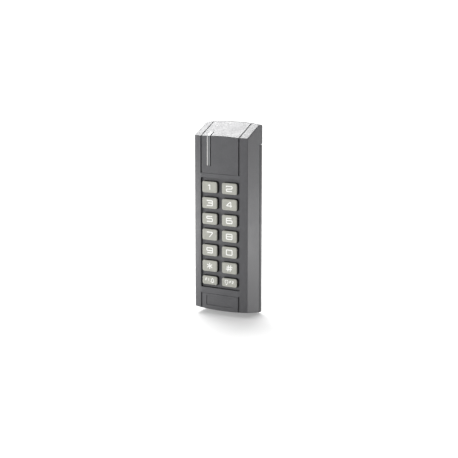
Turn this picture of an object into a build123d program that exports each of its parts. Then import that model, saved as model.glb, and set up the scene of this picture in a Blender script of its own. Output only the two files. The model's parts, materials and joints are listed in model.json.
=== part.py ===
from build123d import *
from math import sqrt, cos, atan
import os

os.makedirs("parts", exist_ok=True)

# A slim keypad access reader that screws to a wall. X is to the right, Z is up, and the wall is
# the plane y = 0, so the reader stands out towards -Y. The origin is near the middle of its wall face.

# ---- Driving dimensions, in millimetres --------------------------------------------------------
WIDTH = 48.3
TOP_Z = 76.25
BOTTOM_Z = -76.96
DEPTH = 25.0  # wall to the middle of the front face
CORNER_DEPTH = 23.3  # wall to the two front corners
CREASE_DEPTH = 24.7  # wall to the lines where the side margins begin
CREASE_X = 17.2
CORNER_RADIUS = 1.0
WALL = 2.0

BEVEL_BACK = 6.0  # the sloping top starts this far from the wall and falls towards the front
BEVEL_SLOPE = 0.505
TOP_RISE = 1.5  # the top is arched by this much across the width
FOOT_BACK = 4.0  # the sloping underside starts this far from the wall
FOOT_SLOPE = 0.2
FOOT_RISE = 1.2

SEAM_DEPTH = 4.55  # the housing stops here and the base shows behind it
SEAM_TOP_Z = 59.5  # above this the housing reaches the wall
BASE_INSET = 0.05
BEYOND = 40.0  # cutting shapes reach this far out of the reader
ARCH_REACH = WIDTH / 2 + 3  # the arches are drawn this wide, a little wider than the reader
MARGIN_CROWN = 0.12  # the side margins bulge by this much
SLIDE_GAP = 0.2  # between the housing and the pieces that slip inside it

# Keypad panel and keys
PANEL_HALF_WIDTH = 17.8
PANEL_TOP_Z = 33.4
PANEL_BOTTOM_Z = -54.9
PANEL_FLOOR = 23.1  # wall to the sunk floor round the keys
PANEL_BACK = 21.3  # wall to the inside of that floor
PANEL_CORNER = 0.8
CHANNEL_WIDTH = 0.7
CHANNEL_DEPTH = 1.0
KEY_WIDTH = 13.5
KEY_HEIGHT = 8.85
SMALL_KEY_HEIGHT = 6.83
KEY_X = 9.02
KEY_PITCH = 12.64
FIRST_KEY_TOP = 30.5
KEY_FRONT = 25.7  # wall to the key tops
KEY_RADIUS = 1.4
KEY_GAP = 0.45
KEY_DRAFT = 1.2
FLANGE_LIP = 0.85
FLANGE_GAP = 0.1
FLANGE_THICKNESS = 0.9
MAT_GAP = 0.2
MAT_THICKNESS = 1.0
PILL_RADIUS = 2.4
PILL_THICKNESS = 0.4

# Circuit board and what it carries
PCB_FRONT = 17.2
PCB_THICKNESS = 1.6
PCB_HALF_WIDTH = 20.5
PCB_TOP_Z = 64.0
PCB_BOTTOM_Z = -67.0
PCB_BACK = PCB_FRONT - PCB_THICKNESS
PAD_THICKNESS = 0.1

# Light bar
BAR_LEFT = -11.7
BAR_RIGHT = -9.1
SLOT_RIGHT = -8.1
BAR_BOTTOM_Z = 42.9
BAR_BACK = 20.6
BAR_TOP_DEPTH = 19.5  # on the slope it ends this far from the wall
BAR_GAP = 0.1

# Wall fixing
SCREW_SPACING = 104.0
SCREW_SLOT_LENGTH = 6.0
SCREW_HOLE_RADIUS = 2.2
CABLE_HOLE_Z = 22.0
CABLE_HOLE_RADIUS = 8.0
GROMMET_BORE_RADIUS = 3.0
PLATE_THICKNESS = 2.0

ROWS = [
    ("key_1", "key_2"),
    ("key_3", "key_4"),
    ("key_5", "key_6"),
    ("key_7", "key_8"),
    ("key_9", "key_0"),
    ("key_star", "key_hash"),
    ("key_f1", "key_f2"),
]


# ---- Shared geometry ---------------------------------------------------------------------------
def arch_drop(x, rise):
    """How far an arch with that rise over the whole width has fallen at x."""
    radius = ((WIDTH / 2) ** 2 + rise**2) / (2 * rise)
    return radius - sqrt(radius**2 - x**2)


def front_depth(x):
    """Distance from the wall to the front face at x, between the two creases."""
    sagitta = DEPTH - CREASE_DEPTH
    radius = (CREASE_X**2 + sagitta**2) / (2 * sagitta)
    return DEPTH - (radius - sqrt(radius**2 - x**2))


def bevel_z(x, depth):
    """Height of the sloping top at x and at a distance from the wall."""
    return TOP_Z - arch_drop(x, TOP_RISE) - BEVEL_SLOPE * (depth - BEVEL_BACK)


def foot_z(x, depth):
    """Height of the sloping underside at x and at a distance from the wall."""
    return BOTTOM_Z + arch_drop(x, FOOT_RISE) + FOOT_SLOPE * max(depth - FOOT_BACK, 0)


def row_z(row):
    """Middle height of a row of keys."""
    height = key_height(row)
    return FIRST_KEY_TOP - row * KEY_PITCH - height / 2


def key_height(row):
    return SMALL_KEY_HEIGHT if row == len(ROWS) - 1 else KEY_HEIGHT


def finish(builder, label):
    builder.part.label = label
    export_step(builder.part, "parts/" + label + ".step")


def arched_outline(level, drop, far):
    """A closed outline between an arch across the reader and a straight line far beyond it."""
    left = (-ARCH_REACH, level - drop)
    right = (ARCH_REACH, level - drop)
    with BuildLine() as outline:
        ThreePointArc(left, (0, level), right)
        Polyline(right, (ARCH_REACH, far), (-ARCH_REACH, far), left)
    return outline


def reader_form(inset):
    """The reader's whole outer form, or a copy with each face moved in by inset."""
    half = WIDTH / 2 - inset
    corner = CORNER_DEPTH - inset
    crease = CREASE_DEPTH - inset
    middle = DEPTH - inset
    margin_x = (half + CREASE_X) / 2
    margin_depth = (corner + crease) / 2 + MARGIN_CROWN
    top_drop = arch_drop(ARCH_REACH, TOP_RISE)
    foot_drop = -arch_drop(ARCH_REACH, FOOT_RISE)
    with BuildPart() as form:
        with BuildSketch(Plane.XY.offset(BOTTOM_Z - BEYOND)):
            with BuildLine():
                Line((-half, 0), (-half, -corner))
                ThreePointArc((-half, -corner), (-margin_x, -margin_depth), (-CREASE_X, -crease))
                ThreePointArc((-CREASE_X, -crease), (0, -middle), (CREASE_X, -crease))
                ThreePointArc((CREASE_X, -crease), (margin_x, -margin_depth), (half, -corner))
                Line((half, -corner), (half, 0))
                Line((half, 0), (-half, 0))
            make_face()
        extrude(amount=TOP_Z - BOTTOM_Z + 2 * BEYOND)
        # level, arched top beside the wall
        with BuildSketch(Plane.XZ.offset(BEVEL_BACK)):
            add(arched_outline(TOP_Z - inset, top_drop, TOP_Z + 2 * BEYOND).line)
            make_face()
        extrude(amount=BEYOND, dir=(0, 1, 0), mode=Mode.SUBTRACT)
        # the same arch carried down the slope to the front
        slope_inset = inset / cos(atan(BEVEL_SLOPE))
        with BuildSketch(Plane.XZ.offset(BEVEL_BACK)):
            add(arched_outline(TOP_Z - slope_inset, top_drop, TOP_Z + 2 * BEYOND).line)
            make_face()
        extrude(amount=BEYOND, dir=(0, -1, -BEVEL_SLOPE), mode=Mode.SUBTRACT)
        # underside: level beside the wall, then rising to the front
        with BuildSketch(Plane.XZ.offset(FOOT_BACK)):
            add(arched_outline(BOTTOM_Z + inset, foot_drop, BOTTOM_Z - 2 * BEYOND).line)
            make_face()
        extrude(amount=BEYOND, dir=(0, 1, 0), mode=Mode.SUBTRACT)
        foot_inset = inset / cos(atan(FOOT_SLOPE))
        with BuildSketch(Plane.XZ.offset(FOOT_BACK)):
            add(arched_outline(BOTTOM_Z + foot_inset, foot_drop, BOTTOM_Z - 2 * BEYOND).line)
            make_face()
        extrude(amount=BEYOND, dir=(0, -1, FOOT_SLOPE), mode=Mode.SUBTRACT)
    return form.part


def span(x_from, x_to, depth_from, depth_to, z_from, z_to, mode=Mode.ADD):
    """A block between two x values, two distances from the wall and two heights."""
    middle = ((x_from + x_to) / 2, -(depth_from + depth_to) / 2, (z_from + z_to) / 2)
    with Locations(middle):
        Box(x_to - x_from, abs(depth_to - depth_from), z_to - z_from, mode=mode)


def key_place(row, side):
    """Middle of a key seen from the front; side is -1 for the left column and 1 for the right."""
    return (side * KEY_X, row_z(row))


# ---- Front housing -----------------------------------------------------------------------------
outer_form = reader_form(0)
inner_form = reader_form(WALL)

BACK_ROUNDING = 1.6
EDGE_ROUNDING = 0.5
GROOVE_WIDTH = 1.5
GROOVE_DEPTH = 1.0
BEVEL_GROOVE_DEPTH = 0.5
BEVEL_GROOVE_WIDTH = 1.0
CARD_BOTTOM_Z = 36.7
FINE_LINE = 0.45
FINE_DEPTH = 0.18
LABEL_TOP_Z = -59.5
LABEL_HALF_WIDTH = 12.8
LABEL_HEIGHT = 7.9
LABEL_MIDDLE_Z = -65.3
LABEL_DEPTH = 0.55
LABEL_CORNER = 0.6
PAD_HALF_WIDTH = 21.0
PAD_MARGIN = 2.0
PAD_SKIN = 1.4  # of the front wall that the thick pad and the bosses grow into
BOSS_RADIUS = 2.3
PILOT_RADIUS = 1.05
BOSS_PLACES = [(x, z) for z in (60.5, 35.9, -59.5) for x in (-17.9, 17.9)]
LOCK_Z = -70.9  # the security screw pulls the housing against the base's tab here
LOCK_DEPTH = 11.0
LOCK_HOLE_RADIUS = 1.7
LOCK_HEAD_RADIUS = 2.9
LOCK_SEAT_Z = -73.9
LOCK_SKIN = 1.8  # of the bottom wall that this block grows into
LOCK_BOSS = 5.0  # half width of the thicker block round its hole
HOOK_PLACES = (-11.0, 11.0)  # the base's two hooks and the ribs that they catch
HOOK_HALF_WIDTH = 4.0
HOOK_REACH = 8.6
HOOK_TIP = 1.8
HOOK_LOW_Z = 68.4
HOOK_HIGH_Z = 70.2
HOOK_TIP_RISE = 1.3
HOOK_PLAY = 0.3

with BuildPart() as front_housing:
    add(outer_form)
    upright = front_housing.edges().filter_by(Axis.Z)
    fillet(upright.group_by(Axis.Y)[1], CORNER_RADIUS)
    # the arch at the top meets the wall with a full rounding
    wall_arch = front_housing.faces().sort_by(Axis.Y)[-1].edges().sort_by(Axis.Z)[-1]
    fillet(wall_arch, BACK_ROUNDING)
    rims = front_housing.edges().filter_by(lambda edge: edge.bounding_box().max.Y < -0.01)
    level_rims = rims.filter_by(Axis.Z, reverse=True)
    fillet(level_rims, EDGE_ROUNDING)
    # the rear strip of the base shows below the seam
    span(-WIDTH, WIDTH, -1, SEAM_DEPTH, BOTTOM_Z - 1, SEAM_TOP_Z, mode=Mode.SUBTRACT)
    add(inner_form, mode=Mode.SUBTRACT)
    # thicker wall behind the sunk keypad floor
    pad_low = PANEL_BOTTOM_Z - PAD_MARGIN
    pad_high = PANEL_TOP_Z + PAD_MARGIN
    span(-PAD_HALF_WIDTH, PAD_HALF_WIDTH, PANEL_BACK, DEPTH - PAD_SKIN, pad_low, pad_high)
    # bosses for the circuit board's screws, and the seat of the security screw
    with BuildSketch(Plane.XZ.offset(PCB_FRONT)):
        with Locations(*BOSS_PLACES):
            Circle(BOSS_RADIUS)
    extrude(amount=DEPTH - PAD_SKIN - PCB_FRONT)
    span(
        -LOCK_BOSS,
        LOCK_BOSS,
        LOCK_DEPTH - LOCK_BOSS,
        LOCK_DEPTH + LOCK_BOSS,
        BOTTOM_Z + LOCK_SKIN,
        LOCK_Z - SLIDE_GAP,
    )
    # ribs under the top that the base's hooks catch
    for hook_x in HOOK_PLACES:
        rib_near = HOOK_REACH - HOOK_TIP - HOOK_PLAY
        rib_low = HOOK_HIGH_Z + HOOK_PLAY
        span(
            hook_x - HOOK_HALF_WIDTH,
            hook_x + HOOK_HALF_WIDTH,
            rib_near - HOOK_TIP,
            rib_near,
            rib_low,
            bevel_z(hook_x, rib_near) - 1,
        )
    # sunk panel with a drip channel along its edge
    panel_height = PANEL_TOP_Z - PANEL_BOTTOM_Z
    panel_middle = (PANEL_TOP_Z + PANEL_BOTTOM_Z) / 2
    with BuildSketch(Plane.XZ.offset(PANEL_FLOOR)):
        with Locations((0, panel_middle)):
            RectangleRounded(2 * PANEL_HALF_WIDTH, panel_height, PANEL_CORNER)
    extrude(amount=5, mode=Mode.SUBTRACT)
    with BuildSketch(Plane.XZ.offset(PANEL_FLOOR - CHANNEL_DEPTH)):
        with Locations((0, panel_middle)):
            RectangleRounded(2 * PANEL_HALF_WIDTH, panel_height, PANEL_CORNER)
            RectangleRounded(
                2 * (PANEL_HALF_WIDTH - CHANNEL_WIDTH),
                panel_height - CHANNEL_WIDTH,
                PANEL_CORNER,
                mode=Mode.SUBTRACT,
            )
    extrude(amount=5, mode=Mode.SUBTRACT)
    # one opening for each key
    with BuildSketch(Plane.XZ.offset(PANEL_BACK - 1)):
        for row in range(len(ROWS)):
            with Locations(key_place(row, -1), key_place(row, 1)):
                RectangleRounded(KEY_WIDTH + 2 * KEY_GAP, key_height(row) + 2 * KEY_GAP, KEY_RADIUS + KEY_GAP)
    extrude(amount=6, mode=Mode.SUBTRACT)
    # grooves beside the card area run up the front and on over the slope
    for side in (-1, 1):
        groove_x = side * CREASE_X
        front_floor = CREASE_DEPTH - GROOVE_DEPTH
        with BuildSketch(Plane.YZ.offset(groove_x - GROOVE_WIDTH / 2)):
            with BuildLine():
                Polyline(
                    (-DEPTH - 2, CARD_BOTTOM_Z),
                    (-front_floor, CARD_BOTTOM_Z),
                    (-front_floor, bevel_z(CREASE_X, front_floor) - 0.2),
                    (-DEPTH - 2, bevel_z(CREASE_X, DEPTH) - 0.2),
                    close=True,
                )
            make_face()
        extrude(amount=GROOVE_WIDTH, mode=Mode.SUBTRACT)
        with BuildSketch(Plane.YZ.offset(groove_x - BEVEL_GROOVE_WIDTH / 2)):
            with BuildLine():
                Polyline(
                    (-DEPTH - 2, bevel_z(CREASE_X, DEPTH + 2) - BEVEL_GROOVE_DEPTH),
                    (-BEVEL_BACK, bevel_z(CREASE_X, BEVEL_BACK) - BEVEL_GROOVE_DEPTH),
                    (-BACK_ROUNDING, bevel_z(CREASE_X, BEVEL_BACK) - BEVEL_GROOVE_DEPTH),
                    (1, bevel_z(CREASE_X, BEVEL_BACK) - 3 * BEVEL_GROOVE_DEPTH),
                    (1, TOP_Z + 2),
                    (-DEPTH - 2, TOP_Z + 2),
                    close=True,
                )
            make_face()
        extrude(amount=BEVEL_GROOVE_WIDTH, mode=Mode.SUBTRACT)
        # the same groove beside the blank label area
        span(
            groove_x - GROOVE_WIDTH / 2,
            groove_x + GROOVE_WIDTH / 2,
            front_floor,
            DEPTH + 2,
            BOTTOM_Z,
            LABEL_TOP_Z,
            mode=Mode.SUBTRACT,
        )
    # fine lines that close the card area below and the label area above
    for line_z in (CARD_BOTTOM_Z, LABEL_TOP_Z - FINE_LINE):
        span(
            -CREASE_X,
            CREASE_X,
            CREASE_DEPTH - FINE_DEPTH,
            DEPTH + 2,
            line_z,
            line_z + FINE_LINE,
            mode=Mode.SUBTRACT,
        )
    # shallow blank recess for a label
    with BuildSketch(Plane.XZ.offset(DEPTH - LABEL_DEPTH)):
        with Locations((0, LABEL_MIDDLE_Z)):
            RectangleRounded(2 * LABEL_HALF_WIDTH, LABEL_HEIGHT, LABEL_CORNER)
    extrude(amount=2, mode=Mode.SUBTRACT)
    # slot for the light bar, over the front edge and a little way up the slope
    span(
        BAR_LEFT - BAR_GAP,
        SLOT_RIGHT,
        BAR_TOP_DEPTH,
        DEPTH + 1,
        BAR_BOTTOM_Z - BAR_GAP,
        TOP_Z,
        mode=Mode.SUBTRACT,
    )
    # pilot holes in the bosses
    with BuildSketch(Plane.XZ.offset(PCB_FRONT - 0.1)):
        with Locations(*BOSS_PLACES):
            Circle(PILOT_RADIUS)
    extrude(amount=5, mode=Mode.SUBTRACT)
    # security screw hole, counterbored from below
    with BuildSketch(Plane.XY.offset(BOTTOM_Z - 1)):
        with Locations((0, -LOCK_DEPTH)):
            Circle(LOCK_HOLE_RADIUS)
    extrude(amount=10, mode=Mode.SUBTRACT)
    with BuildSketch(Plane.XY.offset(BOTTOM_Z - 1)):
        with Locations((0, -LOCK_DEPTH)):
            Circle(LOCK_HEAD_RADIUS)
    extrude(amount=LOCK_SEAT_Z - BOTTOM_Z + 1, mode=Mode.SUBTRACT)
finish(front_housing, "front_housing")

# ---- Base plate --------------------------------------------------------------------------------
BASE_HALF_WIDTH = WIDTH / 2 - BASE_INSET
BASE_TOP_HALF_WIDTH = WIDTH / 2 - WALL - SLIDE_GAP
BASE_TOP_Z = TOP_Z - WALL - SLIDE_GAP
SHOULDER_Z = SEAM_TOP_Z - 0.5
GASKET_THICKNESS = 0.7
GASKET_RECESS = 0.55  # how far the gasket lies inside the base's edge, which leaves a dark seam
LOW_CORNER_RADIUS = 0.8
LOW_BACK_RADIUS = 1.0
RIM_DEPTH = SEAM_DEPTH - GASKET_THICKNESS
RIM_WIDTH = 2.4
TAB_HALF_WIDTH = 4.5
TAB_THICKNESS = 4.0
TAB_REACH = LOCK_DEPTH + 4.0
COLLAR_WALL = 1.6  # of the collars round the cable entry and the plunger's hole
INSERT_RADIUS = 1.5
INSERT_RIBS = 0.6  # the knurl of the insert melts this far into the plastic
TAMPER_X = 12.0
TAMPER_Z = -38.0
PLUNGER_RADIUS = 1.5
PLUNGER_RUNNING_GAP = 0.05


def base_outline(inset):
    """The base seen from the front, narrow at the top where it slips inside the housing."""
    wide = BASE_HALF_WIDTH - inset
    narrow = BASE_TOP_HALF_WIDTH - inset
    low = BOTTOM_Z + BASE_INSET + inset
    side_low = low + FOOT_RISE
    high = BASE_TOP_Z - inset
    side_high = high - arch_drop(narrow, TOP_RISE)
    with BuildSketch() as outline:
        with BuildLine():
            ThreePointArc((-wide, side_low), (0, low), (wide, side_low))
            Polyline(
                (wide, side_low),
                (wide, SHOULDER_Z - inset),
                (narrow, SHOULDER_Z - inset),
                (narrow, side_high),
            )
            # the narrow top follows the arch on the inside of the housing
            ThreePointArc((narrow, side_high), (0, high), (-narrow, side_high))
            Polyline(
                (-narrow, side_high),
                (-narrow, SHOULDER_Z - inset),
                (-wide, SHOULDER_Z - inset),
                (-wide, side_low),
            )
        make_face()
    return outline.sketch


with BuildPart() as base_plate:
    with BuildSketch(Plane.XZ):
        add(base_outline(0))
    extrude(amount=RIM_DEPTH)
    # the low back edge comes first, while the corners are sharp, so that its rounding stops there
    low_arch = base_plate.faces().sort_by(Axis.Y)[-1].edges().filter_by(
        lambda edge: edge.bounding_box().max.Z < BOTTOM_Z + 3
    )
    fillet(low_arch, LOW_BACK_RADIUS)
    low_corners = base_plate.edges().filter_by(Axis.Y).group_by(Axis.Z)[0]
    fillet(low_corners, LOW_CORNER_RADIUS)
    with BuildSketch(Plane.XZ.offset(PLATE_THICKNESS)):
        add(base_outline(RIM_WIDTH))
    extrude(amount=RIM_DEPTH, mode=Mode.SUBTRACT)
    # tab that takes the security screw, with a thickened root
    span(-TAB_HALF_WIDTH, TAB_HALF_WIDTH, 1, TAB_REACH, LOCK_Z, LOCK_Z + TAB_THICKNESS)
    # two tongues that hook behind the top of the housing
    for tongue in HOOK_PLACES:
        span(tongue - HOOK_HALF_WIDTH, tongue + HOOK_HALF_WIDTH, 1, HOOK_REACH, HOOK_LOW_Z, HOOK_HIGH_Z)
        span(
            tongue - HOOK_HALF_WIDTH,
            tongue + HOOK_HALF_WIDTH,
            HOOK_REACH - HOOK_TIP,
            HOOK_REACH,
            HOOK_LOW_Z,
            HOOK_HIGH_Z + HOOK_TIP_RISE,
        )
    # cable entry, with a short collar round it
    with BuildSketch(Plane.XZ.offset(PLATE_THICKNESS / 2)):
        with Locations((0, CABLE_HOLE_Z)):
            Circle(CABLE_HOLE_RADIUS + COLLAR_WALL)
    extrude(amount=RIM_DEPTH - PLATE_THICKNESS / 2)
    with BuildSketch(Plane.XZ.offset(-1)):
        with Locations((0, CABLE_HOLE_Z)):
            Circle(CABLE_HOLE_RADIUS)
    extrude(amount=RIM_DEPTH + 2, mode=Mode.SUBTRACT)
    # slots for the two wall screws
    with BuildSketch(Plane.XZ.offset(-1)):
        with Locations((0, SCREW_SPACING / 2), (0, -SCREW_SPACING / 2)):
            SlotOverall(SCREW_SLOT_LENGTH, 2 * SCREW_HOLE_RADIUS, rotation=90)
    extrude(amount=PLATE_THICKNESS + 2, mode=Mode.SUBTRACT)
    # hole that the tamper plunger slides through, with a guide boss
    with BuildSketch(Plane.XZ.offset(PLATE_THICKNESS / 2)):
        with Locations((TAMPER_X, TAMPER_Z)):
            Circle(PLUNGER_RADIUS + COLLAR_WALL)
    extrude(amount=3)
    with BuildSketch(Plane.XZ.offset(-1)):
        with Locations((TAMPER_X, TAMPER_Z)):
            Circle(PLUNGER_RADIUS + PLUNGER_RUNNING_GAP)
    extrude(amount=10, mode=Mode.SUBTRACT)
    # hole for the brass insert in the tab
    with BuildSketch(Plane.XY.offset(LOCK_Z - 1)):
        with Locations((0, -LOCK_DEPTH)):
            Circle(INSERT_RADIUS + INSERT_RIBS)
    extrude(amount=TAB_THICKNESS + 2, mode=Mode.SUBTRACT)
finish(base_plate, "base_plate")

# ---- Gasket between base and housing -----------------------------------------------------------
with BuildPart() as base_gasket:
    with BuildSketch(Plane.XZ.offset(RIM_DEPTH)):
        add(base_outline(GASKET_RECESS))
        add(base_outline(RIM_WIDTH - 0.2), mode=Mode.SUBTRACT)
        # the base's narrow top is inside the housing and carries no gasket
        with Locations((0, SHOULDER_Z + 10)):
            Rectangle(2 * WIDTH, 22, mode=Mode.SUBTRACT)
    extrude(amount=GASKET_THICKNESS)
finish(base_gasket, "base_gasket")

# ---- Cable grommet -----------------------------------------------------------------------------
GROMMET_SKIN = 1.0
GROMMET_START = 0.4  # from the wall
GROMMET_PLAY = 0.02
GROMMET_FLANGE = 1.4
GROMMET_LIP_WALL = 1.2
GROMMET_LIP = 2.6
with BuildPart() as cable_grommet:
    body_radius = CABLE_HOLE_RADIUS - GROMMET_PLAY
    flange_radius = CABLE_HOLE_RADIUS + GROMMET_FLANGE
    lip_radius = GROMMET_BORE_RADIUS + GROMMET_LIP_WALL
    with BuildSketch(Plane.XY.offset(CABLE_HOLE_Z)):
        with BuildLine():
            Polyline(
                (GROMMET_BORE_RADIUS, -GROMMET_START),
                (body_radius, -GROMMET_START),
                (body_radius, -RIM_DEPTH),
                (flange_radius, -RIM_DEPTH),
                (flange_radius, -RIM_DEPTH - GROMMET_SKIN),
                (lip_radius, -RIM_DEPTH - GROMMET_SKIN),
                (lip_radius, -RIM_DEPTH - GROMMET_LIP),
                (GROMMET_BORE_RADIUS, -RIM_DEPTH - GROMMET_LIP),
                close=True,
            )
        make_face()
    revolve(axis=Axis((0, 0, CABLE_HOLE_Z), (0, 1, 0)))
finish(cable_grommet, "cable_grommet")

# ---- Security screw and its insert -------------------------------------------------------------
LOCK_HEAD_HEIGHT = 1.4
LOCK_SHANK_RADIUS = 1.45
LOCK_PLAY = 0.02
DRIVE_RADIUS = 0.95
DRIVE_LOBE = 0.3
DRIVE_PIN = 0.35
DRIVE_DEPTH = 0.9
with BuildPart() as security_screw:
    with BuildSketch(Plane.XY.offset(LOCK_SEAT_Z - LOCK_HEAD_HEIGHT)):
        with Locations((0, -LOCK_DEPTH)):
            Circle(LOCK_HEAD_RADIUS - 0.2)
    extrude(amount=LOCK_HEAD_HEIGHT)
    chamfer(security_screw.faces().sort_by(Axis.Z)[0].edges(), 0.3)
    with BuildSketch(Plane.XY.offset(LOCK_SEAT_Z)):
        with Locations((0, -LOCK_DEPTH)):
            Circle(LOCK_SHANK_RADIUS)
    extrude(amount=LOCK_Z + TAB_THICKNESS + 1 - LOCK_SEAT_Z)
    # six-lobed drive with a centre pin, so that a plain driver can't turn it
    with BuildSketch(Plane.XY.offset(LOCK_SEAT_Z - LOCK_HEAD_HEIGHT)):
        with Locations((0, -LOCK_DEPTH)):
            Circle(DRIVE_RADIUS)
            with PolarLocations(DRIVE_RADIUS, 6):
                Circle(DRIVE_LOBE)
            Circle(DRIVE_PIN, mode=Mode.SUBTRACT)
    extrude(amount=DRIVE_DEPTH, mode=Mode.SUBTRACT)
finish(security_screw, "security_screw")

with BuildPart() as screw_insert:
    with BuildSketch(Plane.XY.offset(LOCK_Z)):
        with Locations((0, -LOCK_DEPTH)):
            Circle(INSERT_RADIUS + INSERT_RIBS - LOCK_PLAY)
            Circle(LOCK_SHANK_RADIUS + LOCK_PLAY, mode=Mode.SUBTRACT)
    extrude(amount=TAB_THICKNESS)
finish(screw_insert, "screw_insert")

# ---- Rubber keypad: mat, keys and contact pills ------------------------------------------------
MAT_HALF_WIDTH = 18.6
MAT_MARGIN = 2.4
MAT_CORNER = 1.2
MAT_TOP_Z = FIRST_KEY_TOP + MAT_MARGIN
MAT_BOTTOM_Z = row_z(len(ROWS) - 1) - SMALL_KEY_HEIGHT / 2 - MAT_MARGIN
MAT_FOOT_WIDTH = 1.0
mat_back = PANEL_BACK - MAT_THICKNESS
with BuildPart() as keypad_mat:
    mat_height = MAT_TOP_Z - MAT_BOTTOM_Z
    mat_middle = (MAT_TOP_Z + MAT_BOTTOM_Z) / 2
    with BuildSketch(Plane.XZ.offset(mat_back)):
        with Locations((0, mat_middle)):
            RectangleRounded(2 * MAT_HALF_WIDTH, mat_height, MAT_CORNER)
    extrude(amount=MAT_THICKNESS)
    # foot round the edge that stands on the circuit board
    with BuildSketch(Plane.XZ.offset(PCB_FRONT)):
        with Locations((0, mat_middle)):
            RectangleRounded(2 * MAT_HALF_WIDTH, mat_height, MAT_CORNER)
            Rectangle(
                2 * (MAT_HALF_WIDTH - MAT_FOOT_WIDTH),
                mat_height - 2 * MAT_FOOT_WIDTH,
                mode=Mode.SUBTRACT,
            )
    extrude(amount=mat_back - PCB_FRONT)
    with BuildSketch(Plane.XZ.offset(mat_back - 1)):
        opening = KEY_WIDTH + 2 * (FLANGE_LIP + MAT_GAP)
        for row in range(len(ROWS)):
            with Locations(key_place(row, -1), key_place(row, 1)):
                RectangleRounded(opening, key_height(row) + 2 * (FLANGE_LIP + MAT_GAP), KEY_RADIUS + 0.6)
    extrude(amount=MAT_THICKNESS + 2, mode=Mode.SUBTRACT)
finish(keypad_mat, "keypad_mat")

flange_front = PANEL_BACK - FLANGE_GAP
flange_back = flange_front - FLANGE_THICKNESS
KEY_TRAVEL = 1.1
KEY_EDGE = 0.45
PILL_PLAY = 0.1
POST_WALL = 0.3
pill_front = PCB_FRONT + PAD_THICKNESS + KEY_TRAVEL + PILL_PLAY
post_back = pill_front + PILL_THICKNESS


def key_solid(row, side):
    """A rubber key: tapered cap, holding flange behind the panel and a post for its pill."""
    with BuildPart() as key:
        with BuildSketch(Plane.XZ.offset(flange_back)):
            with Locations(key_place(row, side)):
                RectangleRounded(
                    KEY_WIDTH + 2 * FLANGE_LIP, key_height(row) + 2 * FLANGE_LIP, KEY_RADIUS + 0.4
                )
        extrude(amount=FLANGE_THICKNESS)
        with BuildSketch(Plane.XZ.offset(KEY_FRONT)):
            with Locations(key_place(row, side)):
                RectangleRounded(KEY_WIDTH, key_height(row), KEY_RADIUS)
        extrude(amount=flange_front - KEY_FRONT, taper=-KEY_DRAFT)
        fillet(key.faces().sort_by(Axis.Y)[0].edges(), KEY_EDGE)
        with BuildSketch(Plane.XZ.offset(post_back)):
            with Locations(key_place(row, side)):
                Circle(PILL_RADIUS + POST_WALL)
        extrude(amount=flange_back - post_back)
    return key


def pill_solid(row, side):
    """The black conductive pill that closes the contact under a key."""
    with BuildPart() as pill:
        with BuildSketch(Plane.XZ.offset(pill_front)):
            with Locations(key_place(row, side)):
                Circle(PILL_RADIUS)
        extrude(amount=PILL_THICKNESS)
    return pill


for row, names in enumerate(ROWS):
    for side, name in zip((-1, 1), names):
        finish(key_solid(row, side), name)
        finish(pill_solid(row, side), name.replace("key", "pill"))

# ---- Light bar and its holder ------------------------------------------------------------------
bar_x = (BAR_LEFT + BAR_RIGHT) / 2


def bar_profile(sunk):
    """The light bar from the side; sunk moves its visible faces in from the housing's faces."""
    face = front_depth(bar_x) - sunk
    with BuildSketch() as profile:
        with BuildLine():
            Polyline(
                (-face, BAR_BOTTOM_Z),
                (-BAR_BACK, BAR_BOTTOM_Z),
                (-BAR_BACK, bevel_z(bar_x, BAR_BACK) - 5),
                (-BAR_TOP_DEPTH - BAR_GAP, bevel_z(bar_x, BAR_TOP_DEPTH) - 4),
                (-BAR_TOP_DEPTH - BAR_GAP, bevel_z(bar_x, BAR_TOP_DEPTH) - sunk),
                (-face, bevel_z(bar_x, face) - sunk),
                close=True,
            )
        make_face()
    return profile.sketch


with BuildPart() as light_bar:
    with BuildSketch(Plane.YZ.offset(BAR_LEFT)):
        add(bar_profile(0))
    extrude(amount=BAR_RIGHT - BAR_LEFT)
    front_edges = light_bar.edges().filter_by(Axis.X).sort_by(Axis.Y)[0:2]
    fillet(front_edges, 0.3)
finish(light_bar, "light_bar")

HOLDER_FRONT = 22.6
HOLDER_BACK = 21.2
HOLDER_PLAY = 0.1
HOLDER_LEFT = -14.6
HOLDER_RIGHT = -5.4
HOLDER_LOW_Z = 40.6
HOLDER_HIGH_Z = 63.4
STRIP_SINK = 0.9  # the dark strip beside the bar lies this far below the housing's faces
with BuildPart() as light_bar_holder:
    span(HOLDER_LEFT, HOLDER_RIGHT, HOLDER_BACK, HOLDER_FRONT, HOLDER_LOW_Z, HOLDER_HIGH_Z)
    span(BAR_LEFT, BAR_RIGHT, PCB_FRONT, DEPTH + 1, BAR_BOTTOM_Z, TOP_Z, mode=Mode.SUBTRACT)
    with BuildSketch(Plane.YZ.offset(BAR_RIGHT)):
        add(bar_profile(STRIP_SINK))
    extrude(amount=SLOT_RIGHT - BAR_RIGHT - HOLDER_PLAY)
finish(light_bar_holder, "light_bar_holder")

# ---- Circuit board -----------------------------------------------------------------------------
PCB_SCREW_HOLE = 1.15
with BuildPart() as main_pcb:
    with BuildSketch(Plane.XZ.offset(PCB_BACK)):
        with Locations((0, (PCB_TOP_Z + PCB_BOTTOM_Z) / 2)):
            RectangleRounded(2 * PCB_HALF_WIDTH, PCB_TOP_Z - PCB_BOTTOM_Z, 2)
        with Locations(*BOSS_PLACES):
            Circle(PCB_SCREW_HOLE, mode=Mode.SUBTRACT)
    extrude(amount=PCB_THICKNESS)
finish(main_pcb, "main_pcb")

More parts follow.
